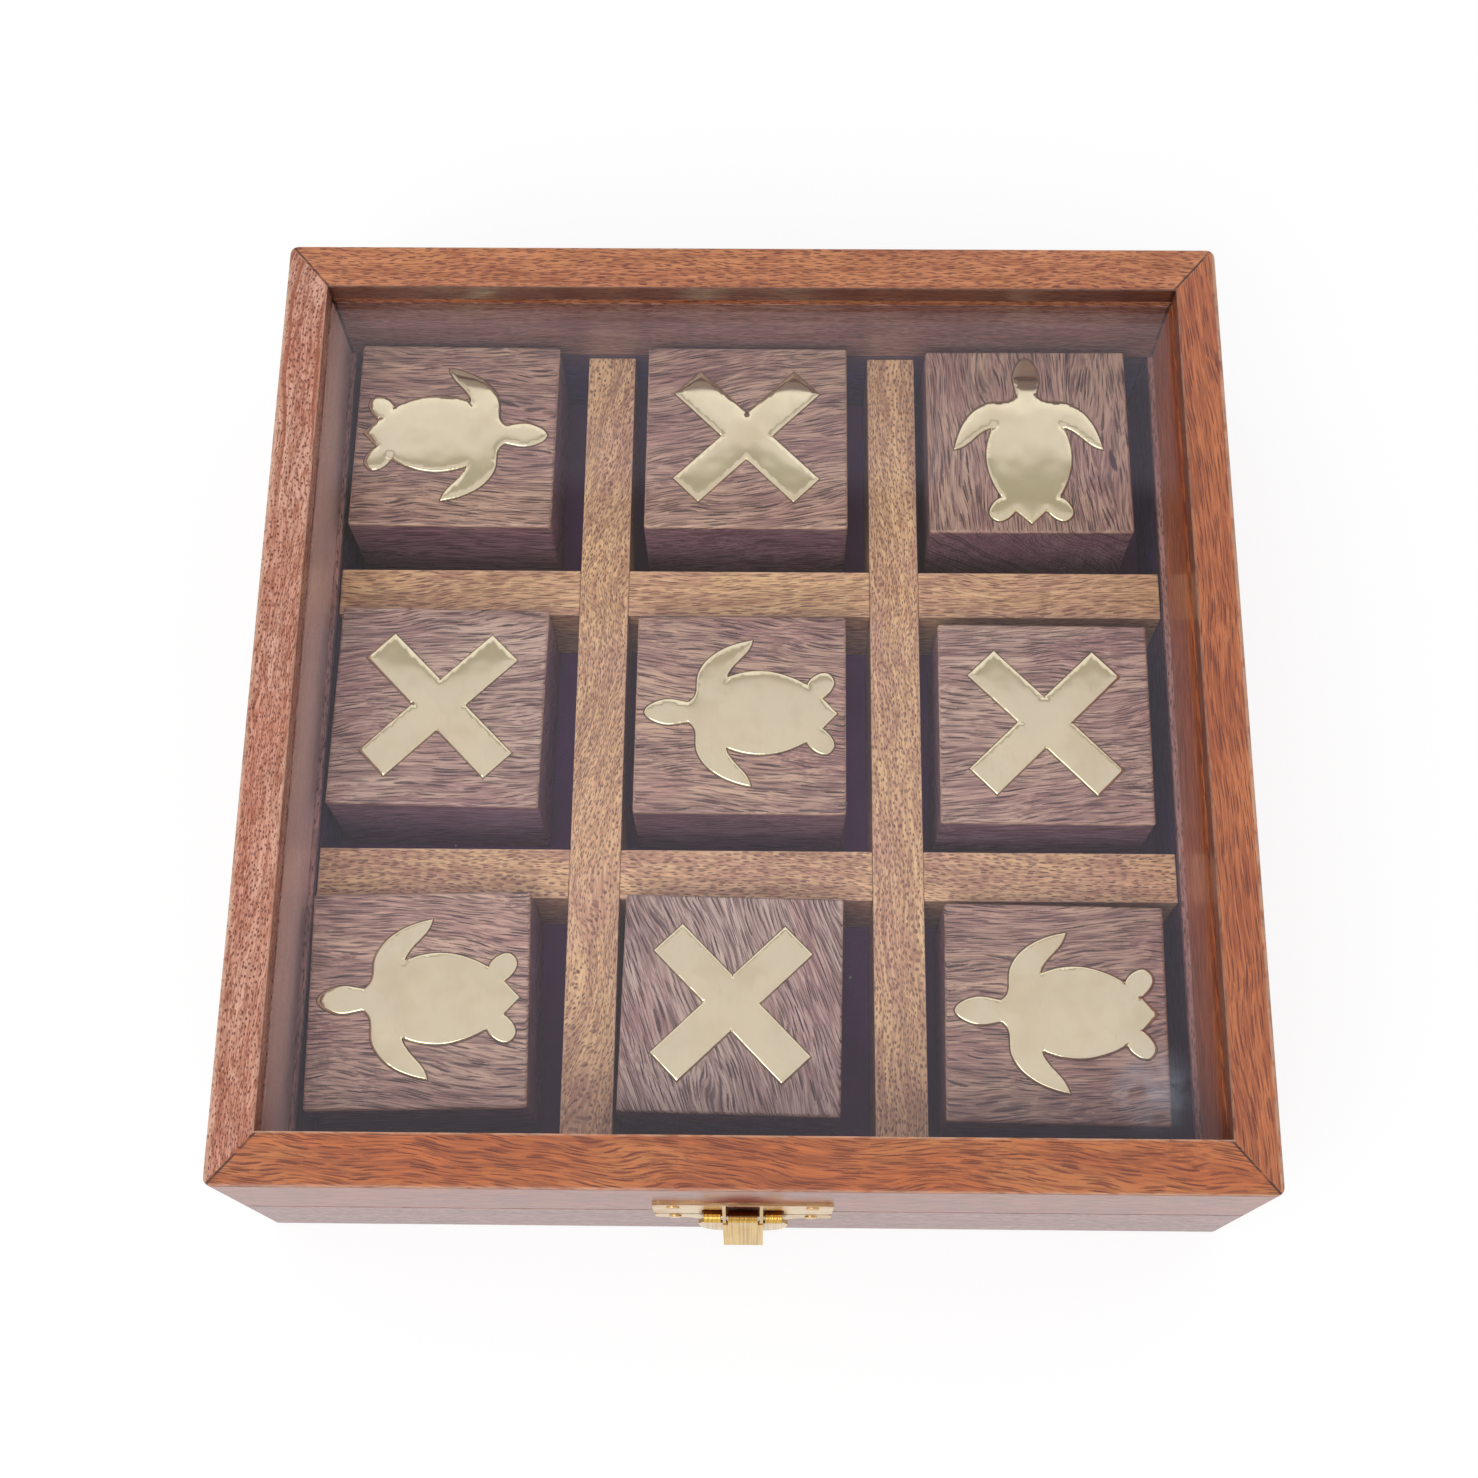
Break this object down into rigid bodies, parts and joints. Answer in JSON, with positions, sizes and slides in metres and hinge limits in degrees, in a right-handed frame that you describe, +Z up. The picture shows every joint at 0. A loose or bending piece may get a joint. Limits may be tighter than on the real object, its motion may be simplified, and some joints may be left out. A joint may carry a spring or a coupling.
{
  "type": "tic-tac-toe game box",
  "caption": "Square hinged wooden case with a glass lid and brass latch; crossed slats form cells that hold wooden blocks with brass turtle and cross emblems.",
  "frame": {"origin": "centre of the underside of the case", "axes": "+Z up, -Y towards the front with the latch, +X to the right seen from the front"},
  "size_m": [0.152, 0.1602, 0.045],
  "materials": {
    "base_wood": "oiled open-pore hardwood, satin",
    "lid_wood": "oiled open-pore hardwood, satin",
    "slat_wood": "oiled open-pore hardwood, satin",
    "block_wood": "dark open-pore hardwood, matt",
    "board": "thin board, plain",
    "velvet": "short dark velvet pile",
    "glass": "clear float glass",
    "emblem_brass": "polished pale brass",
    "latch_brass": "bright brass plating",
    "hinge_brass": "plain brass",
    "pin_steel": "drawn wire"
  },
  "bodies": {
    "base": {"base_front_wall": "base_wood", "base_back_wall": "base_wood", "base_left_wall": "base_wood", "base_right_wall": "base_wood", "bottom_board": "board", "velvet_lining": "velvet", "left_long_slat": "slat_wood", "right_long_slat": "slat_wood", "front_cross_slat": "slat_wood", "back_cross_slat": "slat_wood", "left_hinge_base_leaf": "hinge_brass", "right_hinge_base_leaf": "hinge_brass", "left_hinge_pin": "hinge_brass", "right_hinge_pin": "hinge_brass", "hinge_base_screws": "hinge_brass", "latch_base_plate": "latch_brass", "latch_base_nails": "latch_brass"},
    "lid": {"lid_front_rail": "lid_wood", "lid_back_rail": "lid_wood", "lid_left_rail": "lid_wood", "lid_right_rail": "lid_wood", "glass_pane": "glass", "left_hinge_lid_leaf": "hinge_brass", "right_hinge_lid_leaf": "hinge_brass", "hinge_lid_screws": "hinge_brass", "latch_lid_plate": "latch_brass", "latch_lid_nails": "latch_brass", "latch_pin": "pin_steel"},
    "latch_flap": {"latch_flap": "latch_brass"},
    "piece_back_left": {"block_back_left": "block_wood", "turtle_back_left": "emblem_brass"},
    "piece_back_middle": {"block_back_middle": "block_wood", "cross_back_middle": "emblem_brass"},
    "piece_back_right": {"block_back_right": "block_wood", "turtle_back_right": "emblem_brass"},
    "piece_middle_left": {"block_middle_left": "block_wood", "cross_middle_left": "emblem_brass"},
    "piece_middle_middle": {"block_middle_middle": "block_wood", "turtle_middle_middle": "emblem_brass"},
    "piece_middle_right": {"block_middle_right": "block_wood", "cross_middle_right": "emblem_brass"},
    "piece_front_left": {"block_front_left": "block_wood", "turtle_front_left": "emblem_brass"},
    "piece_front_middle": {"block_front_middle": "block_wood", "cross_front_middle": "emblem_brass"},
    "piece_front_right": {"block_front_right": "block_wood", "turtle_front_right": "emblem_brass"}
  },
  "joints": [
    {"name": "lid_hinge", "type": "hinge", "parent": "base", "child": "lid", "pos_m": [0, 0.07835, 0.0225], "axis": [-1, 0, 0], "range_deg": [0, 110]},
    {"name": "latch_swing", "type": "hinge", "parent": "lid", "child": "latch_flap", "pos_m": [0, -0.07775, 0.0255], "axis": [-1, 0, 0], "range_deg": [0, 135]},
    {"name": "lift_back_left", "type": "slide", "parent": "base", "child": "piece_back_left", "axis": [0, 0, 1], "range_m": [0, 0.01]},
    {"name": "lift_back_middle", "type": "slide", "parent": "base", "child": "piece_back_middle", "axis": [0, 0, 1], "range_m": [0, 0.01]},
    {"name": "lift_back_right", "type": "slide", "parent": "base", "child": "piece_back_right", "axis": [0, 0, 1], "range_m": [0, 0.01]},
    {"name": "lift_middle_left", "type": "slide", "parent": "base", "child": "piece_middle_left", "axis": [0, 0, 1], "range_m": [0, 0.01]},
    {"name": "lift_middle_middle", "type": "slide", "parent": "base", "child": "piece_middle_middle", "axis": [0, 0, 1], "range_m": [0, 0.01]},
    {"name": "lift_middle_right", "type": "slide", "parent": "base", "child": "piece_middle_right", "axis": [0, 0, 1], "range_m": [0, 0.01]},
    {"name": "lift_front_left", "type": "slide", "parent": "base", "child": "piece_front_left", "axis": [0, 0, 1], "range_m": [0, 0.01]},
    {"name": "lift_front_middle", "type": "slide", "parent": "base", "child": "piece_front_middle", "axis": [0, 0, 1], "range_m": [0, 0.01]},
    {"name": "lift_front_right", "type": "slide", "parent": "base", "child": "piece_front_right", "axis": [0, 0, 1], "range_m": [0, 0.01]}
  ]
}
